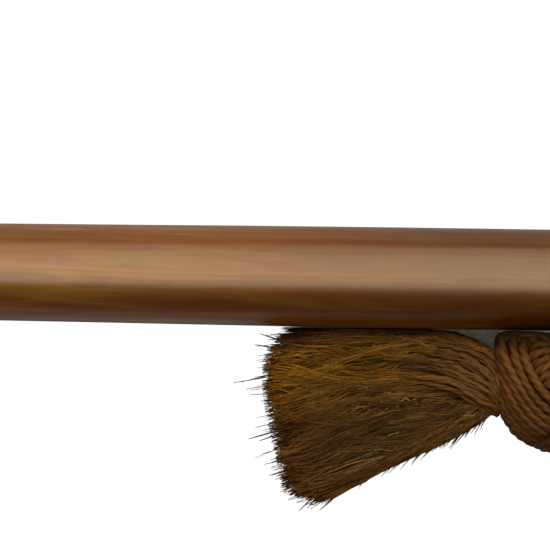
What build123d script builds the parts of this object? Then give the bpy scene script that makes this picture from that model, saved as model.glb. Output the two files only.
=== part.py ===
# Curling broom with a turned hardwood shaft, a flat stitched coir head and a coir wrist loop.
# Row frame, in millimetres: the broom lies flat, +X runs along the shaft from the brush tips to the
# butt, +Z is up, and the origin is on the ground under the middle of the broom.
# The wrist loop, its ball knot and its tassel lie on the ground beside the butt.

import os
from math import sqrt, tan

from build123d import *

os.makedirs("parts", exist_ok=True)

# ---------------------------------------------------------------- driving dimensions
overall_length = 1160.0
axis_height = 16.5              # shaft axis above the ground
tip_x = -overall_length / 2     # brush tips
butt_x = overall_length / 2     # end of the shaft

shaft_grip_r = 13.4             # true cylinder at the balance point
shaft_thick_r = 14.4            # thickest plain part, near the butt
knob_r = axis_height            # turned knob, so that the butt rests on the ground
shoulder_x = -212.0             # where the shaft steps down into the head
shoulder_r = 12.9
tenon_r = 11.0                  # tapered tenon inside the head
tenon_end_x = -372.0
tenon_end_r = 8.5

rope_r = 4.5                    # three-strand coir rope
hole_r = rope_r + 0.3
hole_x = butt_x - 45.0          # cross hole for the wrist loop
rope_gap = 0.4                  # between two ropes side by side, or between two rope ends

ball_r = 17.2                   # ball knot
ball_centre = Vector(hole_x - 33.0, -32.05, 17.2)
ball_flat = 13.0                # its face for the two ropes, from its centre
ball_wall = 3.2
neck_y = -28.6                  # the tassel's neck leaves the ball nearer to the shaft
neck_r = 7.2
sway_pivot = Vector(478.0, neck_y, 15.5)
tassel_neck_r = 9.0
running_gap = 0.5

cord_r = 1.2                    # thin coir cord of the stitching and the serving
wire_r = 0.6

# Half width and half thickness of the head at stations along X, straight between them.
head_stations = [
    (shoulder_x, 13.6, 13.4),
    (-240.0, 16.5, 13.8),
    (-266.0, 22.0, 14.0),
    (-280.0, 29.0, 14.3),
    (-300.0, 41.5, 14.8),
    (-322.0, 53.0, 15.0),
    (-345.0, 62.0, 15.1),
    (-370.0, 69.5, 15.2),
    (-400.0, 76.0, 15.3),
    (-428.0, 80.5, 16.1),
    (-460.0, 84.5, 16.5),
    (-500.0, 89.0, 15.8),
    (-540.0, 93.0, 14.3),
    (tip_x, 96.0, 12.0),
]
layer_half = 5.5                # half thickness of the head's middle layer
core_top_x = tenon_end_x - 4.0
core_top_half = 12.0
core_tip_half = 34.0
stitch_rows = [-305.0, -335.0, -365.0, -395.0]
wire_turns = [-269.5, -271.0, -272.5]
serving_span = (-264.0, -196.0)
nail_xs = [-228.0, -250.0]
nail_r = 0.9
nail_head_r = 1.9
nail_head_t = 0.8
nail_depth = 6.0                # how far a nail goes into the tenon


# ---------------------------------------------------------------- helpers
def save(name, shape):
    export_step(shape, f"parts/{name}.step")


def above_ground():
    return Pos(0, 0, 100) * Box(2 * overall_length, 600, 200)


def tenon_radius(x):
    along = (x - shoulder_x) / (tenon_end_x - shoulder_x)
    return tenon_r + along * (tenon_end_r - tenon_r)


# ---------------------------------------------------------------- shaft
def shaft():
    neck = (hole_x - 13.0, shaft_thick_r)
    knob = (butt_x - 17.0, knob_r)
    end = (butt_x, 8.0)
    outline = [
        Line((tenon_end_x, 0), (tenon_end_x, tenon_end_r)),
        Line((tenon_end_x, tenon_end_r), (shoulder_x, tenon_r)),
        Line((shoulder_x, tenon_r), (shoulder_x, shoulder_r)),
        Line((shoulder_x, shoulder_r), (-100, shaft_grip_r)),
        Line((-100, shaft_grip_r), (100, shaft_grip_r)),
        Spline((100, shaft_grip_r), (344, 13.87), (411, 14.27), neck, tangents=[(1, 0), (1, 0)]),
        Spline(neck, knob, tangents=[(1, 0), (1, 0)]),
        Spline(knob, end, tangents=[(1, 0), (0, -1)]),
        Line(end, (butt_x, 0)),
        Line((butt_x, 0), (tenon_end_x, 0)),
    ]
    turned = revolve(make_face(Plane.XY * Wire(outline)), Axis.X)
    hole = Pos(hole_x, 0, 0) * Rot(90, 0, 0) * Cylinder(hole_r, 60)
    return Pos(0, 0, axis_height) * (turned - hole) - nails()


# ---------------------------------------------------------------- head
def head_section(x, half_width, half_thick, grow=0.0):
    w, h = half_width + grow, half_thick + grow
    outline = RectangleRounded(2 * w, 2 * h, h - 0.05)
    return Plane((x, 0, axis_height), x_dir=(0, 1, 0), z_dir=(1, 0, 0)) * outline


def head_size(x):
    """Half width and half thickness of the head at x."""
    for (xa, wa, ha), (xb, wb, hb) in zip(head_stations, head_stations[1:]):
        if xb <= x <= xa:
            share = (x - xa) / (xb - xa)
            return wa + share * (wb - wa), ha + share * (hb - ha)


def head_piece(x_high, x_low, grow=0.0):
    """The head's outer shape between two places, grown by a layer of that thickness."""
    xs = [x_high, *[x for x, _, _ in head_stations if x_low < x < x_high], x_low]
    return loft([head_section(x, *head_size(x), grow) for x in xs], ruled=True)


def plan_prism(points):
    face = make_face(Plane.XY * Polyline(*points, close=True))
    return extrude(face, 200)


def head_hanks(nailed):
    """The fibre hanks of the head: two face layers, two side hanks and the centre hank."""
    fan = head_piece(shoulder_x, tip_x) - nailed
    middle = Pos(0, 0, axis_height) * Box(2 * overall_length, 600, 2 * layer_half)
    over = Pos(0, 0, axis_height + layer_half + 50) * Box(2 * overall_length, 600, 100)
    under = Pos(0, 0, axis_height - layer_half - 50) * Box(2 * overall_length, 600, 100)
    core_prism = plan_prism([
        (core_top_x, -core_top_half),
        (core_top_x, core_top_half),
        (tip_x - 5, core_tip_half),
        (tip_x - 5, -core_tip_half),
    ])
    layer = fan & middle
    flanks = layer - core_prism
    left = Pos(0, 100, axis_height) * Box(2 * overall_length, 200, 60)
    right = Pos(0, -100, axis_height) * Box(2 * overall_length, 200, 60)
    return {
        "face_hank_upper": fan & over,
        "face_hank_lower": fan & under,
        "centre_hank": layer & core_prism,
        "side_hank_left": flanks & left,
        "side_hank_right": flanks & right,
    }


def band(x, half_length, thickness):
    """A closed band round the head, that thick, resting on the fibre."""
    span = (x + half_length, x - half_length)
    return head_piece(*span, thickness) - head_piece(*span)


def serving():
    """Tight serving of thin cord over the head's neck and the end of the plain shaft."""
    thick = 2 * cord_r
    x0, x1 = serving_span
    over_head = head_piece(shoulder_x, x0, thick) - head_piece(shoulder_x, x0)
    shaft_end_r = shoulder_r + (x1 - shoulder_x) / (-100 - shoulder_x) * (shaft_grip_r - shoulder_r)
    outline = [
        (shoulder_x, shoulder_r),
        (shoulder_x, 13.4 + thick),
        (x1, shaft_end_r + thick),
        (x1, shaft_end_r),
    ]
    collar = revolve(make_face(Plane.XY * Polyline(*outline, close=True)), Axis.X)
    return over_head + Pos(0, 0, axis_height) * collar


def nail(x):
    """A round nail through the upper fibre into the tenon, under the serving."""
    top = axis_height + tenon_radius(x)
    shank_top = axis_height + 13.2
    shank_low = top - nail_depth
    length = shank_top - shank_low
    shank = Pos(x, 0, (shank_top + shank_low) / 2) * Cylinder(nail_r, length)
    head = Pos(x, 0, shank_top - nail_head_t / 2) * Cylinder(nail_head_r, nail_head_t)
    return shank + head


def nails():
    return Compound([nail(x) for x in nail_xs])


# ---------------------------------------------------------------- rope
def tube(path, radius):
    start = path.position_at(0)
    section = Plane(start, z_dir=path.tangent_at(0)) * Circle(radius)
    return sweep(section, path=path)


def rope_through():
    """The rope in the cross hole, and its bend down to the ball knot."""
    y_in = rope_y_at_ball()[0]
    y_mouth = -shaft_thick_r - 0.8
    bend = y_mouth - y_in
    z = axis_height
    path = Wire([
        Line((hole_x, inner_end_y, z), (hole_x, y_mouth, z)),
        ThreePointArc(
            (hole_x, y_mouth, z),
            (hole_x - bend * (1 - sqrt(0.5)), y_mouth - bend * sqrt(0.5), z),
            (hole_x - bend, y_in, z),
        ),
        Line((hole_x - bend, y_in, z), (ball_face_x, y_in, z)),
    ])
    return tube(path, rope_r)


def rope_y_at_ball():
    """Where the two ropes meet the ball knot's face, side by side."""
    step = rope_r + rope_gap / 2
    middle = ball_centre.Y + 0.6
    return middle + step, middle - step


inner_end_y = 11.0                                    # where the fixed rope ends, in the hole
loop_start_y = inner_end_y + rope_gap
ball_face_x = ball_centre.X + ball_flat
loop_end_x = ball_face_x + rope_gap
loop_end_y = rope_y_at_ball()[1]

# The wrist loop's route, from the hole round the butt to the ball knot: slack, on the ground.
loop_route = [
    (hole_x, loop_start_y, axis_height),
    (hole_x, 29.0, axis_height),
    (543.5, 46.6, 14.6),
    (561.0, 60.5, 10.2),
    (587.5, 67.0, 6.0),
    (616.5, 62.0, 4.7),
    (640.0, 43.5, 4.6),
    (652.5, 16.5, 4.7),
    (652.0, -12.5, 4.6),
    (639.0, -38.0, 4.7),
    (616.5, -55.5, 4.6),
    (590.5, -60.0, 5.8),
    (567.5, -51.5, 9.8),
    (550.0, -41.0, 14.4),
    (533.0, loop_end_y, axis_height),
    (loop_end_x, loop_end_y, axis_height),
]


def corner_radii(points, share=0.45):
    """For each inner point, the arc that its two runs allow."""
    radii = []
    for a, b, c in zip(points, points[1:], points[2:]):
        before, after = Vector(*b) - Vector(*a), Vector(*c) - Vector(*b)
        turn = before.get_angle(after) * 3.141592653589793 / 180
        radii.append(share * min(before.length, after.length) / tan(turn / 2))
    return radii


def wrist_loop():
    radii = corner_radii(loop_route)
    path = FilletPolyline(*loop_route, radius=radii)
    solid = tube(path, rope_r)
    section = 3.141592653589793 * rope_r**2
    print("loop radii", [round(r, 1) for r in radii], "length", round(path.length, 1))
    print("loop volume share", round(solid.volume / (section * path.length), 4))
    return solid


def throat_seizing():
    """Twine seizing round both ropes, where they go into the ball knot."""
    x0, x1 = ball_face_x + 1.2, ball_face_x + 7.2
    middle = sum(rope_y_at_ball()) / 2
    step = rope_r + rope_gap / 2
    outer = SlotCenterToCenter(2 * step, 2 * (rope_r + 1.7))
    inner = SlotCenterToCenter(2 * step, 2 * (rope_r + 0.1))
    section = Plane((x0, middle, axis_height), x_dir=(0, 1, 0), z_dir=(1, 0, 0)) * (outer - inner)
    return extrude(section, x1 - x0)


# ---------------------------------------------------------------- ball knot and tassel
def ball_at(radius):
    return Pos(*ball_centre) * Rot(0, 90, 0) * Sphere(radius)


def neck_hole(radius):
    """A bar through the ball's left side, along the tassel's neck."""
    x0, x1 = sway_pivot.X, ball_centre.X
    return Pos((x0 + x1) / 2, neck_y, sway_pivot.Z + 1.0) * Rot(0, 90, 0) * Cylinder(radius, x1 - x0)


def knot_cover():
    """The knot's outer wall of interlaced bands."""
    face = Pos(ball_face_x + 50, ball_centre.Y, ball_centre.Z) * Box(100, 100, 100)
    wall = ball_at(ball_r) - ball_at(ball_r - ball_wall)
    return wall - face - neck_hole(neck_r + 0.1)


def knot_heart():
    """The crowned strands inside the knot."""
    face = Pos(ball_face_x - ball_wall + 50, ball_centre.Y, ball_centre.Z) * Box(100, 100, 100)
    return ball_at(ball_r - ball_wall - 0.1) - face


def tassel_neck():
    """The strands' short neck between the knot and the tassel, hollowed for the tassel's root."""
    bar = neck_hole(neck_r) - ball_at(ball_r - ball_wall)
    return bar - Pos(*sway_pivot) * Sphere(tassel_neck_r + running_gap)


def tassel_section(x, y, z, half_width, half_height):
    shape = Ellipse(half_width, half_height)
    return Plane((x, y, z), x_dir=(0, 1, 0), z_dir=(-1, 0, 0)) * shape


def tassel():
    """The unlaid, combed-out rope ends: a round root that fans out flat on the ground."""
    px, py, pz = sway_pivot
    fan = loft([
        tassel_section(px + 3, py, pz, 8.0, 8.0),
        tassel_section(466.0, -30.8, 14.0, 12.0, 10.0),
        tassel_section(444.0, -34.8, 11.4, 19.0, 10.2),
        tassel_section(421.0, -38.0, 9.6, 22.6, 9.2),
    ])
    return (fan + Pos(px, py, pz) * Sphere(tassel_neck_r)) & above_ground()


# ---------------------------------------------------------------- build
def build():
    shaft_solid = shaft()
    nail_solids = nails()
    whole = shaft_solid + nail_solids
    parts = {"shaft": shaft_solid, "neck_nails": nail_solids}
    parts |= head_hanks(whole)
    parts["neck_serving"] = serving()
    parts["neck_wire"] = Compound([band(x, wire_r, 2 * wire_r).solid() for x in wire_turns])
    for number, x in enumerate(stitch_rows, 1):
        parts[f"stitch_row_{number}"] = band(x, cord_r, 1.3)
    parts["rope_through_shaft"] = rope_through()
    parts["wrist_loop"] = wrist_loop()
    parts["throat_seizing"] = throat_seizing()
    parts["knot_heart"] = knot_heart()
    parts["knot_cover"] = knot_cover()
    parts["tassel_neck"] = tassel_neck()
    parts["tassel"] = tassel()
    for name, shape in parts.items():
        save(name, shape)


build()
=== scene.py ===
import math

import bpy
import numpy as np
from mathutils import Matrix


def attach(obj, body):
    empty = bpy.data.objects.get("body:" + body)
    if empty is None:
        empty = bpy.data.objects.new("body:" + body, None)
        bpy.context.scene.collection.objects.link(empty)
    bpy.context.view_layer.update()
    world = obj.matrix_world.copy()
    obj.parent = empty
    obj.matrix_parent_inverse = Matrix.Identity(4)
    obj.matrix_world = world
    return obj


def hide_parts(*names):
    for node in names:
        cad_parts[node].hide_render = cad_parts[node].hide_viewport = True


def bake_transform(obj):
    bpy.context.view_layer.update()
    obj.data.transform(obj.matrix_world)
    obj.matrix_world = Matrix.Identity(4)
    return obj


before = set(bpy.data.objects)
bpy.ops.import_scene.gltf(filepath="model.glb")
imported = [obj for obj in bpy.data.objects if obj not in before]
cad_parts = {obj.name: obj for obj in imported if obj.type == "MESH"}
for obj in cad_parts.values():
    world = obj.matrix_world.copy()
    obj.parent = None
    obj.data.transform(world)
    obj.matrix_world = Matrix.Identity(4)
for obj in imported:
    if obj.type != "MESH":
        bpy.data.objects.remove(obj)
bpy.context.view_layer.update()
mm = 0.001
axisZ = 0.0165


# Arrays and meshes.

def unit(v):
    return v / np.maximum(np.linalg.norm(v, axis=-1, keepdims=True), 1e-12)


def smoothStep(t):
    t = np.clip(t, 0.0, 1.0)
    return t * t * (3 - 2 * t)


def makeMesh(name, points, quads, tris=None, tint=None, smooth=True):
    tris = np.zeros((0, 3), int) if tris is None else np.asarray(tris)
    quads = np.asarray(quads).reshape(-1, 4)
    mesh = bpy.data.meshes.new(name)
    mesh.vertices.add(len(points))
    mesh.vertices.foreach_set("co", np.asarray(points, np.float32).ravel())
    loops = np.concatenate([quads.ravel(), tris.ravel()]).astype(np.int32)
    mesh.loops.add(len(loops))
    mesh.loops.foreach_set("vertex_index", loops)
    starts = np.concatenate([np.arange(len(quads)) * 4, len(quads) * 4 + np.arange(len(tris)) * 3])
    mesh.polygons.add(len(starts))
    mesh.polygons.foreach_set("loop_start", starts.astype(np.int32))
    mesh.update(calc_edges=True)
    mesh.validate()
    if smooth:
        mesh.shade_smooth()
    if tint is not None:
        layer = mesh.attributes.new("tint", "FLOAT_COLOR", "POINT")
        colours = np.ones((len(points), 4), np.float32)
        colours[:, :3] = tint
        layer.data.foreach_set("color", colours.ravel())
    obj = bpy.data.objects.new(name, mesh)
    bpy.context.scene.collection.objects.link(obj)
    return obj


def tubePoints(paths, radii, sides, up, closed=False):
    # rings of points round many paths at once: centre + r (cos a side + sin a over)
    if closed:
        tangent = np.roll(paths, -1, axis=1) - np.roll(paths, 1, axis=1)
    else:
        tangent = np.gradient(paths, axis=1)
    tangent = unit(tangent)
    side = unit(np.cross(tangent, up))
    over = np.cross(side, tangent)
    angle = np.arange(sides) * 2 * math.pi / sides
    ring = np.cos(angle)[:, None] * side[:, :, None, :] + np.sin(angle)[:, None] * over[:, :, None, :]
    return paths[:, :, None, :] + radii[:, :, None, None] * ring


def tubeFaces(count, length, sides, closed=False):
    # quads between rings, and a fan of triangles on each open end
    index = np.arange(count * length * sides).reshape(count, length, sides)
    nextRing = np.roll(index, -1, axis=1) if closed else index[:, 1:]
    thisRing = index if closed else index[:, :-1]
    quads = np.stack([
        thisRing, np.roll(thisRing, -1, axis=2), np.roll(nextRing, -1, axis=2), nextRing,
    ], axis=-1).reshape(-1, 4)
    if closed:
        return quads, np.zeros((0, 3), int)
    first, last = index[:, 0], index[:, -1]
    tris = []
    for k in range(1, sides - 1):
        tris.append(np.stack([first[:, 0], first[:, k + 1], first[:, k]], axis=-1))
        tris.append(np.stack([last[:, 0], last[:, k], last[:, k + 1]], axis=-1))
    return quads, np.concatenate(tris)


def makeTubes(name, paths, radii, sides=6, up=(0, 0, 1), tint=None, closed=False):
    count, length = paths.shape[:2]
    up = np.broadcast_to(np.asarray(up, float), paths.shape)
    points = tubePoints(paths, radii, sides, up, closed)
    quads, tris = tubeFaces(count, length, sides, closed)
    if tint is not None:
        tint = np.broadcast_to(tint[:, :, None, :], points.shape).reshape(-1, 3)
    return makeMesh(name, points.reshape(-1, 3), quads, tris, tint)


def gridFaces(rows, around):
    # quads over a grid of closed rings, and a fan from each end ring to its own middle point
    index = np.arange(rows * around).reshape(rows, around)
    turned = np.roll(index, -1, 1)
    quads = np.stack([index[:-1], index[1:], turned[1:], turned[:-1]], -1).reshape(-1, 4)
    middles = rows * around + np.arange(2)
    tris = np.concatenate([
        np.stack([index[0], turned[0], np.full(around, middles[0])], -1),
        np.stack([turned[-1], index[-1], np.full(around, middles[1])], -1)])
    return quads, tris


def resample(path, count):
    # points evenly spaced along a path
    step = np.linalg.norm(np.diff(path, axis=0), axis=1)
    along = np.concatenate([[0], np.cumsum(step)])
    wanted = np.linspace(0, along[-1], count)
    return np.stack([np.interp(wanted, along, path[:, k]) for k in range(3)], axis=1)


def frameOf(path, up, closed=False):
    tangent = np.roll(path, -1, 0) - np.roll(path, 1, 0) if closed else np.gradient(path, axis=0)
    tangent = unit(tangent)
    side = unit(np.cross(tangent, up))
    return tangent, side, np.cross(side, tangent)


def strandsRound(path, up, count, offset, pitch, closed=False, phase=0.0):
    # strands of a laid cord: path + offset (cos a side + sin a over), a = 2 pi s / pitch
    step = np.linalg.norm(np.diff(path, axis=0), axis=1)
    along = np.concatenate([[0], np.cumsum(step)])
    total = along[-1] + (np.linalg.norm(path[0] - path[-1]) if closed else 0)
    turns = total / pitch
    if closed:
        turns = round(turns)
    angle = 2 * math.pi * turns * along / total + phase
    _, side, over = frameOf(path, up, closed)
    strands = []
    for k in range(count):
        a = (angle + 2 * math.pi * k / count)[:, None]
        strands.append(path + offset * (np.cos(a) * side + np.sin(a) * over))
    return np.array(strands)


def place(obj, body, slot, material, *nodes):
    obj.data.materials.clear()
    obj.data.materials.append(material)
    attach(obj, body)
    if nodes:
        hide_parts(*nodes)
    return obj


# Materials read object coordinates, in metres. The fibre ones also read the tint on a piece's points.

def newMaterial(name):
    material = bpy.data.materials.new(name)
    material.use_nodes = True
    tree = material.node_tree
    shader = tree.nodes["Principled BSDF"]
    return material, tree, shader


def addNode(tree, kind, links=None, **values):
    made = tree.nodes.new(kind)
    for key, value in values.items():
        if hasattr(made, key):
            setattr(made, key, value)
        else:
            made.inputs[key.replace("_", " ")].default_value = value
    for socket, source in (links or {}).items():
        tree.links.new(source, made.inputs[socket])
    return made


def ramp(tree, source, stops):
    made = tree.nodes.new("ShaderNodeValToRGB")
    tree.links.new(source, made.inputs["Fac"])
    elements = made.color_ramp.elements
    while len(elements) < len(stops):
        elements.new(0.5)
    for element, (at, colour) in zip(elements, stops):
        element.position = at
        element.color = (*colour, 1.0)
    return made.outputs["Color"]


def stretched(tree, scale, turn=(0.0, 0.0, 0.0)):
    where = addNode(tree, "ShaderNodeTexCoord")
    mapped = addNode(tree, "ShaderNodeMapping", {"Vector": where.outputs["Object"]})
    mapped.inputs["Scale"].default_value = scale
    mapped.inputs["Rotation"].default_value = turn
    return mapped.outputs["Vector"]


def mixColour(tree, kind, factor, a, b):
    made = addNode(tree, "ShaderNodeMix", data_type="RGBA", blend_type=kind)
    for socket, value in zip((made.inputs[0], made.inputs[6], made.inputs[7]), (factor, a, b)):
        if isinstance(value, bpy.types.NodeSocket):
            tree.links.new(value, socket)
        else:
            socket.default_value = value
    return made.outputs[2]


def varnishedWood():
    settings = {
        "light": (0.36, 0.125, 0.008),
        "mid": (0.28, 0.074, 0.003),
        "dark": (0.17, 0.030, 0.0012),
        "ochre": (0.36, 0.170, 0.013),
        "sheen": (1.0, 0.56, 0.20),
        "coatRoughness": (0.20, 0.29),
    }
    material, tree, shader = newMaterial("varnishedWood")
    broad = addNode(tree, "ShaderNodeTexNoise", {"Vector": stretched(tree, (7, 70, 70))},
                    Scale=1.0, Detail=4.0, Roughness=0.6, Distortion=0.6)
    fine = addNode(tree, "ShaderNodeTexNoise", {"Vector": stretched(tree, (30, 900, 900))},
                   Scale=1.0, Detail=5.0, Roughness=0.65)
    pores = addNode(tree, "ShaderNodeTexNoise", {"Vector": stretched(tree, (90, 2600, 2600))},
                    Scale=1.0, Detail=2.0, Roughness=0.5)
    base = ramp(tree, broad.outputs["Fac"], [
        (0.30, settings["dark"]), (0.50, settings["mid"]), (0.72, settings["light"])])
    hue = addNode(tree, "ShaderNodeTexNoise", {"Vector": stretched(tree, (24, 150, 150))},
                  Scale=1.0, Detail=3.0, Roughness=0.55, Distortion=0.8)
    share = ramp(tree, hue.outputs["Fac"], [(0.46, (0, 0, 0)), (0.70, (0.62, 0.62, 0.62))])
    base = mixColour(tree, "MIX", share, base, (*settings["ochre"], 1))
    slanted = stretched(tree, (6, 55, 55), (0.0, 0.0, math.radians(8)))
    rings = addNode(tree, "ShaderNodeTexWave", {"Vector": slanted}, wave_type="BANDS", bands_direction="Y",
                    Scale=0.5, Distortion=5.0, Detail=2.0, Detail_Scale=0.8)
    line = ramp(tree, rings.outputs["Fac"], [
        (0.86, (1, 1, 1)), (0.97, (1.5, 1.5, 1.4)), (1.0, (1.1, 1.1, 1.1))])
    base = mixColour(tree, "MULTIPLY", 0.8, base, line)
    streaks = ramp(tree, fine.outputs["Fac"], [(0.34, (0.70, 0.64, 0.6)), (0.62, (1.08, 1.08, 1.1))])
    dots = ramp(tree, pores.outputs["Fac"], [(0.30, (0.5, 0.42, 0.4)), (0.40, (1, 1, 1))])
    colour = mixColour(tree, "MULTIPLY", 0.7, base, streaks)
    colour = mixColour(tree, "MULTIPLY", 0.4, colour, dots)
    # painted shade: the wood's colour darkens from x 0.395 m to 0.475 m, where the tassel and knot shade the
    # shaft
    along = addNode(tree, "ShaderNodeSeparateXYZ", {"Vector": stretched(tree, (1, 1, 1))})
    shadeBesideKnot = ramp(tree, along.outputs["X"], [(0.395, (1, 1, 1)), (0.475, (0.54, 0.48, 0.6))])
    colour = mixColour(tree, "MULTIPLY", 1.0, colour, shadeBesideKnot)
    tree.links.new(colour, shader.inputs["Base Color"])
    bump = addNode(tree, "ShaderNodeBump", {"Height": fine.outputs["Fac"]}, Strength=0.12, Distance=0.0003)
    tree.links.new(bump.outputs["Normal"], shader.inputs["Normal"])
    shader.inputs["Roughness"].default_value = 0.42
    shader.inputs["Specular IOR Level"].default_value = 0.55
    shader.inputs["Specular Tint"].default_value = (*settings["sheen"], 1)
    shader.inputs["Coat Weight"].default_value = 1.0
    shader.inputs["Coat IOR"].default_value = 1.5
    wear = addNode(tree, "ShaderNodeTexNoise", {"Vector": stretched(tree, (30, 120, 120))},
                   Scale=1.0, Detail=3.0)
    rough = settings["coatRoughness"]
    coat = ramp(tree, wear.outputs["Fac"], [(0.3, (rough[0],) * 3), (0.7, (rough[1],) * 3)])
    tree.links.new(coat, shader.inputs["Coat Roughness"])
    return material


def fibreMaterial(name, roughness=0.55, mottle=0.5, grain=900.0, gloss=0.35):
    # tinted plant fibre: the tint attribute times fine noise, with a small bump
    material, tree, shader = newMaterial(name)
    tint = addNode(tree, "ShaderNodeAttribute", attribute_name="tint")
    spots = addNode(tree, "ShaderNodeTexNoise", {"Vector": stretched(tree, (grain, grain, grain))},
                    Scale=1.0, Detail=3.0, Roughness=0.6)
    blotch = addNode(tree, "ShaderNodeTexNoise", {"Vector": stretched(tree, (90, 160, 160))},
                     Scale=1.0, Detail=2.0)
    speckle = ramp(tree, spots.outputs["Fac"], [(0.3, (0.55, 0.5, 0.48)), (0.7, (1.3, 1.28, 1.2))])
    patches = ramp(tree, blotch.outputs["Fac"], [(0.32, (0.7, 0.66, 0.62)), (0.68, (1.2, 1.2, 1.15))])
    colour = mixColour(tree, "MULTIPLY", mottle, tint.outputs["Color"], speckle)
    colour = mixColour(tree, "MULTIPLY", 0.6, colour, patches)
    tree.links.new(colour, shader.inputs["Base Color"])
    bump = addNode(tree, "ShaderNodeBump", {"Height": spots.outputs["Fac"]}, Strength=0.3, Distance=0.0002)
    tree.links.new(bump.outputs["Normal"], shader.inputs["Normal"])
    shader.inputs["Roughness"].default_value = roughness
    shader.inputs["Specular IOR Level"].default_value = gloss
    shader.inputs["Specular Tint"].default_value = (1.0, 0.62, 0.22, 1)
    return material


def metalMaterial(name, colour, roughness):
    material, tree, shader = newMaterial(name)
    stains = addNode(tree, "ShaderNodeTexNoise", {"Vector": stretched(tree, (260, 260, 260))},
                     Scale=1.0, Detail=4.0, Roughness=0.6)
    dull = tuple(c * 0.45 for c in colour)
    tint = ramp(tree, stains.outputs["Fac"], [(0.35, dull), (0.62, colour)])
    tree.links.new(tint, shader.inputs["Base Color"])
    rough = ramp(tree, stains.outputs["Fac"], [(0.3, (roughness + 0.25,) * 3), (0.7, (roughness,) * 3)])
    tree.links.new(rough, shader.inputs["Roughness"])
    shader.inputs["Metallic"].default_value = 1.0
    return material


woodLook = varnishedWood()
tasselLook = fibreMaterial("tasselFibre", 0.5, 0.45, 700.0, 0.25)
knotLook = fibreMaterial("knotCord", 0.62, 0.5, 1500.0, 0.2)
ropeLook = fibreMaterial("ropeFibre", 0.6, 0.6, 1300.0, 0.3)
headLook = fibreMaterial("headFibre", 0.5, 0.5, 500.0, 0.4)
cordLook = fibreMaterial("cordFibre", 0.6, 0.6, 1500.0, 0.3)
coreLook = fibreMaterial("coreFibre", 0.8, 0.8, 1200.0, 0.1)
wireLook = metalMaterial("galvanisedWire", (0.46, 0.45, 0.43), 0.38)
nailLook = metalMaterial("nailSteel", (0.38, 0.37, 0.35), 0.42)
print("materials made")


# Shaft: a turned outline, radius against x in millimetres, with a rounded knob and a hole across it.
shaft = {
    "stations": [
        (-372, 8.5), (-212.01, 11.0), (-212, 12.9), (-100, 13.4), (0, 13.4), (100, 13.4), (160, 13.44),
        (220, 13.53), (280, 13.68), (344, 13.87), (380, 14.06), (411, 14.27), (450, 14.42), (490, 14.44),
        (522, 14.4), (532, 14.58), (542, 15.0), (551, 15.75), (557, 16.25), (563, 16.5),
    ],
    "knobStart": 563, "knobLength": 17, "endFlatRadius": 8, "around": 160,
    "holeX": 535.0, "holeRadius": 4.8, "holeReach": 30.0, "holeSides": 48,
}


def shaftRadius(x):
    xs, rs = np.array(shaft["stations"]).T
    return np.interp(x, xs, rs)


def buildShaft():
    # rings at (x, -r cos a, r sin a), with the outline smoothed, and a quarter ellipse for the knob
    plain = np.concatenate([[-371.9, -300, -212.02], np.arange(-211.98, shaft["knobStart"], 1.5)])
    xs, rs = plain, shaftRadius(plain)
    kernel = np.hanning(25)
    padded = np.pad(rs[4:], 12, mode="edge")
    smoothed = np.convolve(padded, kernel / kernel.sum(), mode="valid")
    rs = np.concatenate([rs[:4], smoothed])
    kept = (np.arange(len(xs)) % 5 == 0) | (np.arange(len(xs)) < 6) | (xs > 515)
    xs, rs = xs[kept], rs[kept]
    knob = np.linspace(0, 1, 26)[1:]
    flat = shaft["endFlatRadius"]
    endX = shaft["knobStart"] + shaft["knobLength"] * np.sin(knob * math.pi / 2)
    endR = flat + (rs[-1] - flat) * np.cos(knob * math.pi / 2)
    xs, rs = np.concatenate([xs, endX]), np.concatenate([rs, endR])
    around = shaft["around"]
    angle = np.arange(around) * 2 * math.pi / around
    points = np.stack([
        np.broadcast_to(xs[:, None], (len(xs), around)),
        -rs[:, None] * np.cos(angle),
        rs[:, None] * np.sin(angle) + axisZ / mm,
    ], axis=-1) * mm
    index = np.arange(len(xs) * around).reshape(len(xs), around)
    quads = np.stack([index[:-1], np.roll(index, -1, 1)[:-1], np.roll(index, -1, 1)[1:], index[1:]], -1)
    points = points.reshape(-1, 3)
    ends = np.array([[xs[0] * mm, 0, axisZ], [xs[-1] * mm, 0, axisZ]])
    points = np.concatenate([points, ends])
    firstRing, lastRing = index[0], index[-1]
    tris = np.concatenate([
        np.stack([np.roll(firstRing, -1), firstRing, np.full(around, len(points) - 2)], -1),
        np.stack([lastRing, np.roll(lastRing, -1), np.full(around, len(points) - 1)], -1),
    ])
    return makeMesh("turned_shaft", points, quads.reshape(-1, 4), tris)


def drillHole(obj):
    # a cylinder along Y is cut out of the piece: y from -reach to reach, x and z round a circle
    x, radius, reach, sides = (shaft[key] for key in ("holeX", "holeRadius", "holeReach", "holeSides"))
    angle = np.arange(sides) * 2 * math.pi / sides
    ring = np.stack([x + radius * np.cos(angle), np.zeros(sides), radius * np.sin(angle) + axisZ / mm], -1)
    points = np.concatenate([ring + (0, -reach, 0), ring + (0, reach, 0)])
    quads, tris = tubeFaces(1, 2, sides)
    cutter = makeMesh("hole_cutter", points * mm, quads[:, ::-1], tris[:, ::-1])
    cut = obj.modifiers.new("hole", "BOOLEAN")
    cut.operation, cut.solver, cut.object = "DIFFERENCE", "EXACT", cutter
    graph = bpy.context.evaluated_depsgraph_get()
    drilled = bpy.data.meshes.new_from_object(obj.evaluated_get(graph))
    obj.modifiers.clear()
    obj.data = drilled
    drilled.set_sharp_from_angle(angle=math.radians(32))
    bpy.data.objects.remove(cutter)


shaftPiece = buildShaft()
drillHole(shaftPiece)
place(shaftPiece, "broom", "shaft_wood", woodLook, "shaft")
for nodeName, look in (("neck_nails", nailLook), ("neck_wire", wireLook)):
    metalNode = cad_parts[nodeName]
    metalNode.data.materials.clear()
    metalNode.data.materials.append(look)
print("shaft made")


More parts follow.
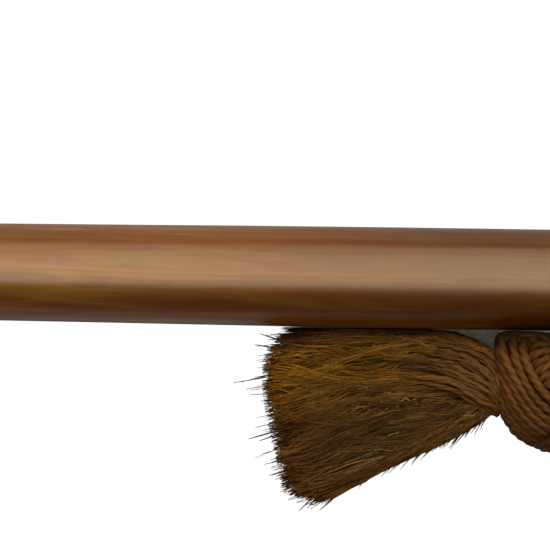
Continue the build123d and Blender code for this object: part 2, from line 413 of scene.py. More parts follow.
# Tassel: seven guide curves run from the knot to the fan's end, and locks of fibre lie between them.
tassel = {
    "guides": np.array([
        [(488.8, -26.6), (486.4, -23.0), (482.8, -19.8), (477.6, -17.2),
         (470.0, -15.4), (449.0, -15.0), (424.2, -15.0)],
        [(489.0, -27.6), (485.9, -25.0), (481.6, -22.2), (474.0, -20.2),
         (461.0, -19.4), (440.4, -20.2), (418.6, -23.0)],
        [(489.2, -28.6), (485.4, -27.4), (478.6, -26.0), (466.9, -26.2),
         (451.6, -27.6), (434.5, -29.0), (418.0, -31.8)],
        [(489.4, -29.8), (485.2, -29.8), (477.9, -30.4), (466.3, -32.0),
         (451.7, -34.4), (436.0, -38.2), (419.8, -41.6)],
        [(489.6, -31.4), (485.1, -32.4), (477.4, -34.8), (466.0, -38.2),
         (451.8, -42.4), (437.4, -47.6), (422.4, -52.0)],
        [(489.8, -33.0), (485.2, -35.2), (477.9, -39.2), (468.0, -43.9),
         (456.2, -49.0), (441.8, -55.4), (425.0, -61.4)],
        [(490.0, -34.6), (485.2, -37.4), (478.6, -42.4), (470.0, -47.2),
         (459.4, -52.0), (447.9, -57.3), (433.6, -64.2)],
    ]),
    # umber is the painted shade colour of the fan's lower middle
    "gold": (0.300, 0.134, 0.0085), "russet": (0.215, 0.086, 0.020), "shadeUmber": (0.080, 0.036, 0.0112),
    "shade": (0.020, 0.009, 0.003), "pale": (0.44, 0.26, 0.09),
    "start": (0.488, -0.0286, 0.0155), "end": (0.468, -0.0286, 0.0155),
    "shaftSide": -14.75,
}


def rounded(points, count):
    # Catmull-Rom curve: each run between two points bends with the slope of their neighbours
    t = np.linspace(0, points.shape[1] - 1, count)
    i = np.minimum(t.astype(int), points.shape[1] - 2)
    f = (t - i)[None, :, None]
    before = 2 * points[:, :1] - points[:, 1:2]
    after = 2 * points[:, -1:] - points[:, -2:-1]
    p = np.concatenate([before, points, after], axis=1)
    p0, p1, p2, p3 = p[:, i], p[:, i + 1], p[:, i + 2], p[:, i + 3]
    return p1 + 0.5 * f * (p2 - p0 + f * (2 * p0 - 5 * p1 + 4 * p2 - p3 + f * (3 * (p1 - p2) + p3 - p0)))


fanGuides = rounded(np.swapaxes(rounded(tassel["guides"], 49), 0, 1), 31).swapaxes(0, 1)


def fanPoint(s, t):
    # the fan's point at s across, 0 beside the shaft to 1 outside, and t along, 0 at the knot to 1
    s = np.clip(s, 0, 1) * (fanGuides.shape[0] - 1)
    t = np.clip(t, 0, 1) * (fanGuides.shape[1] - 1)
    i = np.minimum(s.astype(int), fanGuides.shape[0] - 2)
    j = np.minimum(t.astype(int), fanGuides.shape[1] - 2)
    fs, ft = (s - i)[..., None], (t - j)[..., None]
    a = fanGuides[i, j] * (1 - ft) + fanGuides[i, j + 1] * ft
    b = fanGuides[i + 1, j] * (1 - ft) + fanGuides[i + 1, j + 1] * ft
    return a * (1 - fs) + b * fs


def fanHeight(s, t, level):
    # height above the ground, level 0 underneath to 1 on top: an ellipse that flattens outwards
    middle = 15.5 + (9.4 - 15.5) * smoothStep(t / 0.45)
    half = np.interp(t, [0, 0.2, 0.45, 0.75, 1.0], [7.0, 7.4, 8.8, 8.2, 6.6])
    edge = np.sqrt(np.clip(1 - (2 * s - 1) ** 2 * 0.82, 0, 1))
    return np.maximum(middle + half * edge * (2 * level - 1), 0.4)


def bump(x, centre, width):
    return np.exp(-((x - centre) / width) ** 2)


def fanColour(s, t):
    # golden on the upper outer part, russet elsewhere; umber in the lower middle is painted shade where the
    # fan slopes away from the light, and the darkening along the side beside the shaft is its painted shadow
    gold = smoothStep((t - 0.12) / 0.35) * bump(s, 0.30, 0.20)
    dark = smoothStep((t - 0.15) / 0.35) * (1 - 0.75 * smoothStep((t - 0.86) / 0.12)) * bump(s, 0.69, 0.30)
    dark = np.clip(dark + 0.75 * bump(s, 0.0, 0.14) * smoothStep((t - 0.25) / 0.3), 0, 1)
    gold, dark = gold[..., None], dark[..., None]
    mixed = np.array(tassel["russet"]) * (1 - gold) + np.array(tassel["gold"]) * gold
    frayed = 1 + 0.60 * smoothStep((t - 0.84) / 0.14)[..., None]
    return (mixed * (1 - dark) + np.array(tassel["shadeUmber"]) * dark) * frayed


def blendFan(obj, look, *nodes):
    obj.data.materials.clear()
    obj.data.materials.append(look)
    if nodes:
        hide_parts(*nodes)
    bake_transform(obj)


def fanFibres(name, settings, *nodes):
    # a lock wanders as one, its fibres stay close to it, and each ends a little short of or past it
    rng = np.random.default_rng(settings["seed"])
    locks, each, length = settings["locks"], settings["each"], settings["points"]
    count = locks * each
    own = np.repeat(np.arange(locks), each)
    lock = {
        "s": rng.permutation((np.arange(locks) + 0.5) / locks),
        "level": rng.uniform(*settings["level"], locks),
        "drift": rng.normal(0, settings["drift"], locks)
        * np.where(rng.uniform(0, 1, locks) < 0.16, 2.6, 1.0),
        "reach": rng.uniform(*settings["reach"], locks),
        "tone": rng.normal(0, settings["tone"], locks), "phase": rng.uniform(0, 2 * math.pi, (locks, 3)),
        "waves": rng.uniform(1.2, 3.5, (locks, 3)), "size": rng.uniform(0.3, 1.15, (locks, 3)),
    }
    t = np.linspace(settings["from"], 1, length)[None, :]
    bend = smoothStep((t - 0.08) * 3.2)
    phase, waves = lock["phase"][own], lock["waves"][own]
    size = lock["size"][own] * settings["wave"] * (2.4 / waves) ** 0.7
    swing = []
    for k in range(3):
        turn = 2 * math.pi * waves[:, k:k + 1] * t + phase[:, k:k + 1]
        swing.append(bend * size[:, k:k + 1] * np.sin(turn))
    spread = rng.normal(0, 1, (count, 2))
    width = settings["width"] * np.interp(t, [0, 0.35, 0.8, 1], [1.2, 1.0, 0.75, 1.1])
    s = lock["s"][own][:, None] + lock["drift"][own][:, None] * (t - 0.35)
    s = s + spread[:, :1] * width + 0.030 * swing[0] + rng.normal(0, 0.012, (count, 1)) * t ** 2
    s = np.where(s < 0, -s * 0.3, np.where(s > 1, 1 - (s - 1) * 0.3, s))
    level = lock["level"][own][:, None] + spread[:, 1:] * 0.05 * (0.5 + t) + 0.11 * swing[2]
    level = np.clip(level, 0.02, 1.03)
    reach = (lock["reach"][own] * rng.uniform(*settings["trim"], count))[:, None]
    along = t * reach
    path = np.concatenate([fanPoint(s, along), fanHeight(s, along, level)[..., None]], axis=-1)
    ownPhase = rng.uniform(0, 2 * math.pi, (count, 2))
    path[..., 1] += bend * 0.22 * np.sin(2 * math.pi * 3.1 * t + ownPhase[:, :1])
    path[..., 2] += bend * 0.22 * np.sin(2 * math.pi * 2.7 * t + ownPhase[:, 1:])
    flick = rng.normal(0, 1, (count, 2)) * settings["flick"]
    path[..., 1] += flick[:, :1] * t ** 6
    path[..., 2] = np.maximum(path[..., 2] + np.abs(flick[:, 1:]) * 0.4 * t ** 6, 0.35)
    path[..., 1] = np.minimum(path[..., 1], tassel["shaftSide"])
    thick = rng.uniform(*settings["radius"], count)[:, None] * np.interp(t, [0, 0.85, 1], [1, 0.95, 0.45])
    shade = np.clip(lock["tone"][own] + rng.normal(0, 0.16, count), -0.95, 0.9)[:, None, None]
    # painted light and shade: a fibre is lighter where its lock's wave lifts it and darker where it dips,
    # with a second wave of the same kind along the lock
    waveLightShade = (0.26 * swing[2] + 0.22 * swing[1])[..., None]
    tint = fanColour(s, along) * settings["bright"] * np.clip(1 + waveLightShade, 0.35, 1.8)
    darker = tint * (1 + shade) - np.array(tassel["shade"]) * shade
    tint = np.where(shade < 0, darker, tint * (1 + 0.8 * shade))
    pale = (rng.uniform(0, 1, count) < settings["pale"])[:, None, None]
    tint = np.where(pale, tint * 0.45 + np.array(tassel["pale"]) * 0.5, tint)
    obj = makeTubes(name, path * mm, thick * mm, 3, (0, 0, 1), tint)
    blendFan(obj, tasselLook, *nodes)


# bright scales each layer's colour as painted light and shade: the crown, on top, is lightened, and the
# layers beneath are darkened, the under layer most, as painted shade between the locks
fanLayers = [
    ("tassel_fibres_top", {
        "seed": 11, "locks": 105, "each": 13, "points": 19, "level": (0.66, 0.90), "from": 0.0, "drift": 0.05,
        "reach": (0.93, 1.005), "trim": (0.955, 1.015), "wave": 1.5, "flick": 0.9, "radius": (0.16, 0.28),
        "width": 0.0095, "tone": 0.42, "pale": 0.03, "bright": 0.88}, "tassel"),
    ("tassel_fibres_crown", {
        "seed": 16, "locks": 78, "each": 13, "points": 19, "level": (0.86, 1.02), "from": 0.0, "drift": 0.09,
        "reach": (0.91, 1.005), "trim": (0.95, 1.015), "wave": 1.9, "flick": 0.9, "radius": (0.15, 0.27),
        "width": 0.0085, "tone": 0.40, "pale": 0.05, "bright": 1.22}),
    ("tassel_fibres_middle", {
        "seed": 12, "locks": 170, "each": 14, "points": 13, "level": (0.40, 0.80), "from": 0.0, "drift": 0.04,
        "reach": (0.94, 1.0), "trim": (0.93, 1.02), "wave": 0.9, "flick": 1.1, "radius": (0.18, 0.30),
        "width": 0.012, "tone": 0.30, "pale": 0.02, "bright": 0.42}),
    ("tassel_fibres_under", {
        "seed": 13, "locks": 150, "each": 14, "points": 11, "level": (0.04, 0.45), "from": 0.0, "drift": 0.04,
        "reach": (0.93, 1.0), "trim": (0.92, 1.02), "wave": 0.7, "flick": 1.1, "radius": (0.22, 0.36),
        "width": 0.014, "tone": 0.25, "pale": 0.02, "bright": 0.35}),
    ("tassel_fibres_short", {
        "seed": 14, "locks": 170, "each": 14, "points": 9, "level": (0.30, 0.95), "from": 0.5, "drift": 0.05,
        "reach": (0.93, 0.995), "trim": (0.95, 1.01), "wave": 0.8, "flick": 0.8, "radius": (0.18, 0.30),
        "width": 0.012, "tone": 0.34, "pale": 0.02, "bright": 0.66}),
]
for layer in fanLayers:
    fanFibres(*layer)


def buildFanHeart():
    # the packed fibres inside, tinted near black as painted shade between the locks: rings of s and level
    # round an oval, stepped along t, closed at both ends
    rows, around = 60, 64
    t = np.linspace(0.02, 0.90, rows)[:, None]
    angle = (np.arange(around) * 2 * math.pi / around)[None, :]
    ripple = 0.03 * np.sin(9 * angle + 14 * t) + 0.02 * np.sin(23 * angle - 9 * t)
    s = 0.5 + (0.46 + ripple) * np.cos(angle)
    level = 0.45 + (0.26 + ripple) * np.sin(angle)
    along = t * (1 + 0.03 * np.sin(17 * angle) * t)
    points = np.concatenate([fanPoint(s, along), fanHeight(s, along, level)[..., None]], axis=-1)
    quads, tris = gridFaces(rows, around)
    flat = np.concatenate([points.reshape(-1, 3), points[:1].mean(1), points[-1:].mean(1)])
    stripes = 1 + 0.5 * np.sin(31 * angle + 5 * np.sin(3 * t)) * np.ones_like(t)
    fanGapShade = (np.array((0.045, 0.019, 0.005)) * stripes[..., None]).reshape(-1, 3)
    tint = np.concatenate([fanGapShade, np.full((2, 3), 0.01)])
    obj = makeMesh("tassel_heart", flat * mm, quads, tris, tint)
    blendFan(obj, tasselLook)


strays = {
    "crossing": {"count": 96, "lift": 0.25, "tint": (0.36, 0.20, 0.055), "radius": 0.20},
    "lying": {"count": 34, "lift": 0.1, "tint": (0.26, 0.17, 0.07), "radius": 0.15},
    "ends": {"count": 60, "lift": -3.0, "tint": (0.14, 0.075, 0.022), "radius": 0.17},
    "tips": [
        (417.0, -16.6), (415.6, -19.8), (418.2, -26.0), (417.6, -36.0), (414.3, -46.9), (417.4, -47.4),
        (420.4, -53.8), (429.1, -67.4), (431.6, -66.6), (435.0, -67.0), (438.0, -64.2), (479.5, -43.0),
        (417.9, -30.2)],
    "tipTint": (0.085, 0.048, 0.018), "tipRadius": 0.24,
    "fringe": {
        "count": 110, "length": (4.5, 11.0), "out": (0.05, 0.35), "tint": (0.42, 0.35, 0.20), "radius": 0.15},
}


def buildStrays():
    # single hairs: some cross the fan, some stand out past its end, and pale ones fringe its lower edge
    rng = np.random.default_rng(17)
    length = 12
    t = np.linspace(0, 1, length)[None, :]
    paths, tints, thick = [], [], []

    def add(s, along, kind):
        colour, radius = kind["tint"], kind["radius"]
        height = fanHeight(np.clip(s, 0, 1), along, np.full(s.shape, 1.0)) + kind["lift"]
        path = np.concatenate([fanPoint(s, along), height[..., None]], axis=-1)
        paths.append(path)
        tone = 1 + 0.25 * rng.normal(0, 1, (len(s), 1, 1))
        tints.append(np.array(colour) * tone * np.ones((1, length, 1)))
        thick.append(radius * rng.uniform(0.75, 1.25, (len(s), 1)) * np.interp(t, [0, 0.8, 1], [0.8, 1, 0.4]))

    n = strays["crossing"]["count"]
    start, span = rng.uniform(0.1, 0.7, (n, 1)), rng.uniform(0.12, 0.42, (n, 1))
    along = np.minimum(start + span * t, 1.0)
    wander = rng.normal(0, 0.17, (n, 1)) * (t - 0.5) + 0.03 * np.sin(5 * t + rng.uniform(0, 6, (n, 1)))
    add(rng.uniform(0.05, 0.95, (n, 1)) + wander, along, strays["crossing"])
    n = strays["lying"]["count"]
    s = rng.uniform(0.35, 1.0, (n, 1)) + rng.normal(0, 0.05, (n, 1)) * t
    add(s, rng.uniform(0.3, 0.5, (n, 1)) + 0.45 * t, strays["lying"])
    n = strays["ends"]["count"]
    s = rng.uniform(0.0, 1.0, (n, 1)) + rng.normal(0, 0.03, (n, 1)) * t
    along = 0.62 + 0.38 * t
    add(s, along, strays["ends"])
    tail = unit(paths[-1][:, -1:, :2] - paths[-1][:, -3:-2, :2])
    beyond = rng.gamma(1.6, 1.1, (n, 1, 1)) * np.clip((t[..., None] - 0.5) * 2, 0, 1)
    paths[-1][..., :2] += tail * beyond + rng.normal(0, 0.5, (n, 1, 2)) * t[..., None] ** 4
    paths, tints, thick = (np.concatenate(v) for v in (paths, tints, thick))
    tips = np.array(strays["tips"])
    roots = tips + (np.array([(466.0, -33.0)]) - tips) * 0.38
    roots[11] = (476.0, -38.0)
    sag = rng.normal(0, 0.9, (len(tips), 1))
    line = roots[:, None] + (tips - roots)[:, None] * t[..., None]
    line[..., 1] += sag * np.sin(math.pi * t)
    z = np.interp(t, [0, 0.6, 1], [13.5, 9.0, 5.0]) * np.ones((len(tips), 1))
    hair = np.concatenate([line, z[..., None]], axis=-1)
    n = strays["fringe"]["count"]
    at = rng.uniform(0.16, 0.90, (n, 1))
    foot = fanPoint(np.full((n, 1), 0.97), at)
    aim = fanPoint(np.full((n, 1), 0.97), np.minimum(at + 0.09, 1))
    step = unit(aim - foot)
    away = np.stack([step[..., 1], -step[..., 0]], -1)
    away = np.where(away[..., 1:] > 0, -away, away)
    size = rng.uniform(*strays["fringe"]["length"], (n, 1, 1))
    out = rng.uniform(*strays["fringe"]["out"], (n, 1, 1))
    fringe = foot + size * (step * t[..., None] + away * out * t[..., None] ** 2)
    z = 8.5 - 4.5 * t + rng.normal(0, 1.2, (n, 1))
    fringe = np.concatenate([fringe, np.maximum(z, 0.5)[..., None]], axis=-1)
    fringeTint = np.array(strays["fringe"]["tint"]) * (1 + 0.3 * rng.normal(0, 1, (n, 1, 1)))
    fringeTint = fringeTint * np.ones((1, length, 1))
    paths = np.concatenate([paths, hair, fringe])
    hairTint = np.array(strays["tipTint"]) * np.ones((len(tips), length, 1))
    tints = np.clip(np.concatenate([tints, hairTint, fringeTint]), 0.01, 1)
    taper = np.interp(t, [0, 0.8, 1], [1, 0.9, 0.4])
    hairThick = strays["tipRadius"] * taper * np.ones((len(tips), 1))
    fringeThick = strays["fringe"]["radius"] * taper * np.ones((n, 1))
    thick = np.concatenate([thick, hairThick, fringeThick])
    paths[..., 1] = np.minimum(paths[..., 1], tassel["shaftSide"])
    obj = makeTubes("tassel_stray_hairs", paths * mm, thick * mm, 4, (0, 0, 1), tints)
    blendFan(obj, tasselLook)


buildFanHeart()
buildStrays()
print("tassel made")

# Ball knot: three bands of parallel turns, each over the next and under the last, as on a heaving line.
knot = {
    "centre": np.array((502.0, -32.05, 17.2)), "turns": 8, "pitch": 2.3, "outer": 16.0, "inner": 13.9,
    "face": np.array((-0.771, -0.071, 0.632)), "run": np.array((0.425, -0.798, 0.428)),
    "cord": 1.20, "squareness": 0.42, "limit": (-16.6, 16.0), "back": 12.6,
    # knotGapShadeTint is the painted shade seen between the cords
    "tint": (0.192, 0.071, 0.0205), "heartRadius": 13.2, "knotGapShadeTint": (0.030, 0.012, 0.004),
}


def settle(p):
    # the ball is pressed square towards the shaft and the tassel, and flat where the ropes go in
    x, y = p[..., 0].copy(), p[..., 1].copy()
    corner = np.clip(-x / 16, 0, 1) * np.clip(y / 16, 0, 1) * 2
    grow = 1 + knot["squareness"] * corner ** 2
    lowX, highY = knot["limit"]
    x = np.where(x * grow < lowX + 1, lowX + np.exp(np.minimum(x * grow - lowX - 1, 0)), x * grow)
    y = np.where(y * grow > highY - 1, highY - np.exp(np.minimum(highY - 1 - y * grow, 0)), y * grow)
    back = knot["back"] - 2.0
    x = np.where(x > back, back + (x - back) * 0.36, x)
    return np.stack([x, y, p[..., 2]], axis=-1), grow


def fistTurns(samples):
    # a turn at u along its band's axis: u a + rho (cos f b + sin f c), rho^2 = R^2 - u^2,
    # and R drops from the outer to the inner radius where b is nearer the middle than the next band's edge
    rng = np.random.default_rng(8)
    face, run = unit(knot["face"]), unit(knot["run"])
    run = unit(run - face * np.dot(run, face))
    axes = [unit(np.cross(face, run)), face, run]
    count, pitch = knot["turns"], knot["pitch"]
    f = np.arange(samples) * 2 * math.pi / samples
    offsets = (np.arange(count) - (count - 1) / 2) * pitch
    edge = count * pitch / 2
    paths, ups, grows = [], [], []
    for k in range(3):
        a, b, c = axes[k], axes[(k + 1) % 3], axes[(k + 2) % 3]
        wobble = rng.uniform(0, 6, (count, 3, 1))
        u = offsets[:, None] + 0.16 * np.sin(2 * f + wobble[:, 0]) + 0.10 * np.sin(5 * f + wobble[:, 1])
        flat = np.sqrt(knot["outer"] ** 2 - u ** 2) * np.abs(np.cos(f))
        lift = smoothStep((flat - edge) / 3.0 + 0.5)
        radius = knot["inner"] + (knot["outer"] - knot["inner"]) * lift + 0.14 * np.sin(3 * f + wobble[:, 2])
        rho = np.sqrt(radius ** 2 - u ** 2)
        path = u[..., None] * a + (rho * np.cos(f))[..., None] * b + (rho * np.sin(f))[..., None] * c
        moved, grow = settle(path)
        paths.append(moved)
        ups.append(unit(path))
        grows.append(grow)
    return np.concatenate(paths), np.concatenate(ups), np.concatenate(grows)


def buildKnot():
    rng = np.random.default_rng(5)
    samples, sides = 260, 12
    paths, ups, grows = fistTurns(samples)
    paths = paths + knot["centre"]
    points = tubePoints(paths, knot["cord"] * grows ** 0.7, sides, ups, closed=True)
    around = (np.arange(sides) * 2 * math.pi / sides)[None, None, :]
    lay = (np.arange(samples) * 2 * math.pi / samples)[None, :, None]
    start = rng.uniform(0, 6, (len(paths), 1, 1))
    strand = np.abs(np.sin(1.5 * around - 15 * lay + start)) * 2.4 - 1.5
    ridge = strand + 0.3 * np.sin(6 * around - 60 * lay + start)
    centre = paths[:, :, None, :]
    points = centre + (points - centre) * (1 + 0.10 * ridge[..., None])
    tone = 1 + 0.16 * rng.normal(0, 1, (len(paths), 1, 1, 1)) + 0.12 * np.sin(3 * lay + start)[..., None]
    # painted highlight on the cords' strand ridges and painted shade in their grooves, with random tone
    ridgeShadeAndTone = 1 + 0.30 * ridge[..., None] + 0.10 * rng.normal(0, 1, (len(paths), samples, sides, 1))
    # painted shade: darker where a cord lies deeper towards the ball's middle, and a painted shadow of the
    # shaft on the side next to it
    inward = np.clip((np.linalg.norm(points - knot["centre"], axis=-1, keepdims=True) - 13.6) / 3.2, 0.12, 1)
    knotShaftShadow = 1 - 0.80 * smoothStep((points[..., 1:2] + 22.5) / 5.0)
    tint = np.array(knot["tint"]) * tone * ridgeShadeAndTone * inward * knotShaftShadow
    quads, tris = tubeFaces(len(paths), samples, sides, closed=True)
    tint = np.clip(tint, 0.002, 1).reshape(-1, 3)
    obj = makeMesh("ball_knot_cords", points.reshape(-1, 3) * mm, quads, tris, tint)
    place(obj, "lanyard", "knot_coir", knotLook, "knot_cover")


def buildKnotCore():
    # r = heart radius + small ripples over polar angle p and turn a, drawn square as the cords are; tinted
    # near black as painted shade seen between the cords
    rows, around = 40, 80
    polar = np.linspace(0, math.pi, rows + 2)[1:-1]
    angle = np.arange(around) * 2 * math.pi / around
    p, a = np.meshgrid(polar, angle, indexing="ij")
    heart = knot["heartRadius"]
    r = heart + 0.25 * np.sin(9 * a + 7 * p) * np.sin(11 * p) + 0.12 * np.sin(31 * a + 3 * np.sin(5 * p))
    points = np.stack([-r * np.cos(p), r * np.sin(p) * np.cos(a), r * np.sin(p) * np.sin(a)], -1)
    quads, tris = gridFaces(rows, around)
    flat = np.concatenate([points.reshape(-1, 3), [(-heart, 0, 0)], [(heart, 0, 0)]])
    flat = settle(flat)[0] + knot["centre"]
    tint = np.broadcast_to(np.array(knot["knotGapShadeTint"]), flat.shape)
    obj = makeMesh("ball_knot_heart", flat * mm, quads, tris, tint)
    place(obj, "lanyard", "knot_coir", coreLook, "knot_heart")


buildKnot()
buildKnotCore()
print("knot made")


# Neck of the tassel, and the ropes at the shaft.
neck = {
    "arch": [(458.0, -17.0), (468.0, -16.9), (476.5, -18.6), (483.2, -22.6), (486.6, -28.6), (487.4, -35.4)],
    "inner": [(454.0, -29.5), (462.0, -29.8), (470.0, -31.2), (476.4, -33.6), (481.4, -36.4), (485.4, -38.4)],
    "tint": (0.170, 0.071, 0.021), "count": 36,
}


def buildNeck():
    # yarns between an outer and an inner arch over the fan's root, which turn down under the knot's cords
    rng = np.random.default_rng(21)
    count, length = neck["count"], 18
    arches = rounded(np.array([neck["arch"], neck["inner"]]), length)
    share = rng.permutation((np.arange(count) + 0.5) / count)[:, None, None]
    flat = arches[:1] * (1 - share) + arches[1:] * share
    t = np.linspace(0, 1, length)[None, :]
    waves = 2 * math.pi * rng.uniform(0.8, 2.2, (count, 1)) * t
    flat[..., 1] += 0.7 * np.sin(waves + rng.uniform(0, 6, (count, 1)))
    flat[..., 0] += rng.normal(0, 3.5, (count, 1)) * (1 - t)
    y = flat[..., 1]
    fall = 0.042 * (y + 28.6) ** 2 * np.interp(t, [0, 1], [0.6, 1.3])
    height = np.interp(t, [0, 0.45, 1], [17.0, 21.8, 22.6]) - fall
    z = np.maximum(height, 12.0) + rng.uniform(-0.9, 0.5, (count, 1))
    paths = np.concatenate([flat, z[..., None]], axis=-1)
    strands = []
    for path in paths:
        strands.extend(strandsRound(resample(path, 22), (0, 0, 1), 2, 0.30, 11.0, phase=rng.uniform(0, 6)))
    strands = np.array(strands)
    strands[..., 1] = np.minimum(strands[..., 1], -14.9)
    t = np.linspace(0, 1, 22)[None, :]
    radii = np.interp(t, [0, 0.45, 0.8, 1], [0.08, 0.34, 0.50, 0.50])
    radii = radii * rng.uniform(0.75, 1.2, (len(strands), 1))
    tone = np.repeat(np.clip(rng.normal(0, 0.30, (count, 1, 1)), -0.6, 0.6), 2, axis=0)
    tint = np.array(neck["tint"]) * (1 + tone) * np.ones((1, 22, 1))
    obj = makeTubes("tassel_neck_yarns", strands * mm, radii * mm, 6, (0, 0, 1), tint)
    blendFan(obj, tasselLook, "tassel_neck")


rope = {
    "radius": 4.5, "twist": 26.0, "tint": (0.20, 0.105, 0.042), "hairTint": (0.25, 0.14, 0.06), "hairs": 420,
    "twineTint": (0.30, 0.19, 0.10),
}


def laidRope(name, line, seed):
    # three strands round a line, each a twisted bundle of yarns; the tint carries painted highlight on the
    # yarn ridges and painted shade in the grooves, with random tone
    rng = np.random.default_rng(seed)
    length = float(np.linalg.norm(np.diff(line, axis=0), axis=1).sum())
    samples = max(int(length / 0.8), 24)
    line = resample(line, samples)
    strands = strandsRound(line, (0, 0, 1), 3, rope["radius"] * 0.50, rope["twist"])
    sides = 14
    up = np.broadcast_to(np.array((0, 0, 1.0)), strands.shape)
    radii = np.full(strands.shape[:2], rope["radius"] * 0.50)
    points = tubePoints(strands, radii, sides, up)
    around = np.arange(sides) * 2 * math.pi / sides
    along = np.linspace(0, length, samples)
    ridge = np.sin(4 * around[None, :] - 2 * math.pi * along[:, None] / 5.5)
    centre = strands[:, :, None, :]
    points = centre + (points - centre) * (1 + 0.07 * ridge[None, :, :, None])
    quads, tris = tubeFaces(3, samples, sides)
    shade = 1 + 0.30 * ridge[None, :, :, None] + 0.12 * rng.normal(0, 1, (3, samples, sides, 1))
    tint = (np.array(rope["tint"]) * shade).reshape(-1, 3)
    return makeMesh(name, points.reshape(-1, 3) * mm, quads, tris, tint)


def hairs(line, count, rng):
    # short stray fibres: root + size (t forward + curl t squared)
    tangent, side, over = frameOf(line, (0, 0, 1))
    at = rng.integers(2, len(line) - 2, count)
    angle = rng.uniform(0, 2 * math.pi, count)[:, None]
    out = np.cos(angle) * side[at] + np.sin(angle) * over[at]
    forward = tangent[at] * rng.normal(0, 1.0, (count, 1)) + out
    root = line[at] + out * rope["radius"] * 0.85
    t = np.linspace(0, 1, 5)[None, :, None]
    size = rng.uniform(1.5, 5.0, (count, 1, 1))
    curl = rng.normal(0, 0.35, (count, 1, 3))
    path = root[:, None] + size * (t * unit(forward)[:, None] + curl * t ** 2)
    path[..., 2] = np.maximum(path[..., 2], 0.15)
    return path


def ropeHairs(name, line, seed):
    rng = np.random.default_rng(seed)
    paths = hairs(line, rope["hairs"], rng)
    radii = rng.uniform(0.06, 0.12, (len(paths), 1)) * np.linspace(1, 0.4, 5)[None, :]
    tint = np.array(rope["hairTint"]) * (1 + 0.3 * rng.normal(0, 1, (len(paths), 1, 1))) * np.ones((1, 5, 1))
    obj = makeTubes(name, paths * mm, radii * mm, 3, (0.3, 0.2, 0.93), np.clip(tint, 0.01, 1))
    return place(obj, "lanyard", "rope_coir", ropeLook)


throughLine = np.array([(535.0, 11.0, 16.5), (535.0, 0.0, 16.5), (535.0, -10.0, 16.5), (535.0, -15.2, 16.5)])
bendAngle = np.linspace(0, math.pi / 2, 12)[1:]
bend = np.stack([
    535.0 - 11.55 * (1 - np.cos(bendAngle)), -15.2 - 11.55 * np.sin(bendAngle), np.full(11, 16.5)], axis=-1)
throughLine = np.concatenate([throughLine, bend, [(518.0, -26.75, 16.5), (511.0, -27.2, 16.6)]])


def buildThroughRope():
    obj = laidRope("rope_in_shaft", throughLine, 3)
    place(obj, "lanyard", "rope_coir", ropeLook, "rope_through_shaft")


loopRoute = [
    (535.0, 11.4, 16.5), (535.0, 29.0, 16.5), (543.5, 46.6, 14.6), (561.0, 60.5, 10.2),
    (587.5, 67.0, 6.0), (616.5, 62.0, 4.7), (640.0, 43.5, 4.6), (652.5, 16.5, 4.7),
    (652.0, -12.5, 4.6), (639.0, -38.0, 4.7), (616.5, -55.5, 4.6), (590.5, -60.0, 5.8),
    (567.5, -51.5, 9.8), (550.0, -41.0, 14.4), (533.0, -36.15, 16.5), (515.4, -36.15, 16.5),
]


def splineLine(name, route):
    # the smooth line that a NURBS curve draws from a route's control points
    curve = bpy.data.curves.new(name, "CURVE")
    curve.dimensions = "3D"
    spline = curve.splines.new("NURBS")
    spline.points.add(len(route) - 1)
    for point, where in zip(spline.points, route):
        point.co = (*[c * mm for c in where], 1.0)
    spline.order_u = 3
    spline.use_endpoint_u = True
    curve.resolution_u = 24
    obj = bpy.data.objects.new(name, curve)
    bpy.context.scene.collection.objects.link(obj)
    mesh = bpy.data.meshes.new_from_object(obj)
    line = np.array([v.co for v in mesh.vertices], float) / mm
    bpy.data.objects.remove(obj)
    bpy.data.curves.remove(curve)
    bpy.data.meshes.remove(mesh)
    return line


def buildLoop():
    line = resample(splineLine("loop_line", loopRoute), 400)
    obj = laidRope("wrist_loop_rope", line, 4)
    place(obj, "lanyard", "rope_coir", ropeLook, "wrist_loop")
    fuzz = ropeHairs("wrist_loop_hairs", line, 6)


def ovalTurns(centreY, centreZ, halfStep, radius, x0, x1, turns, samples):
    # a helix of turns round a slot shape: two half circles joined by straight sides
    flat = 2 * halfStep
    arc = math.pi * radius
    around = 2 * flat + 2 * arc
    u = np.linspace(0, turns, samples)
    d = (u % 1.0) * around
    y, z = np.zeros(samples), np.zeros(samples)
    top = d < flat
    y[top], z[top] = halfStep - d[top], radius
    left = (d >= flat) & (d < flat + arc)
    a = (d[left] - flat) / radius
    y[left], z[left] = -halfStep - radius * np.sin(a), radius * np.cos(a)
    low = (d >= flat + arc) & (d < 2 * flat + arc)
    y[low], z[low] = -halfStep + (d[low] - flat - arc), -radius
    right = d >= 2 * flat + arc
    a = (d[right] - 2 * flat - arc) / radius
    y[right], z[right] = halfStep + radius * np.sin(a), -radius * np.cos(a)
    x = x0 + (x1 - x0) * u / turns
    return np.stack([x, centreY + y, centreZ + z], axis=-1)


def buildSeizing():
    line = ovalTurns(-31.45, 16.5, 4.7, 5.2, 516.8, 521.7, 4.5, 800)
    between = np.clip(line[:, 1], -36.15, -26.75)
    middle = np.stack([line[:, 0], between, np.full(len(line), 16.5)], axis=-1)
    out = unit(line - middle)
    pair = strandsRound(line, out, 2, 0.27, 2.9)
    radii = np.full(pair.shape[:2], 0.33)
    tint = np.array(rope["twineTint"]) * np.ones((2, len(line), 1))
    obj = makeTubes("throat_twine", pair * mm, radii * mm, 6, np.array([out, out]), tint)
    place(obj, "lanyard", "seizing_twine", cordLook, "throat_seizing")


buildNeck()
buildThroughRope()
buildLoop()
buildSeizing()
print("ropes made")


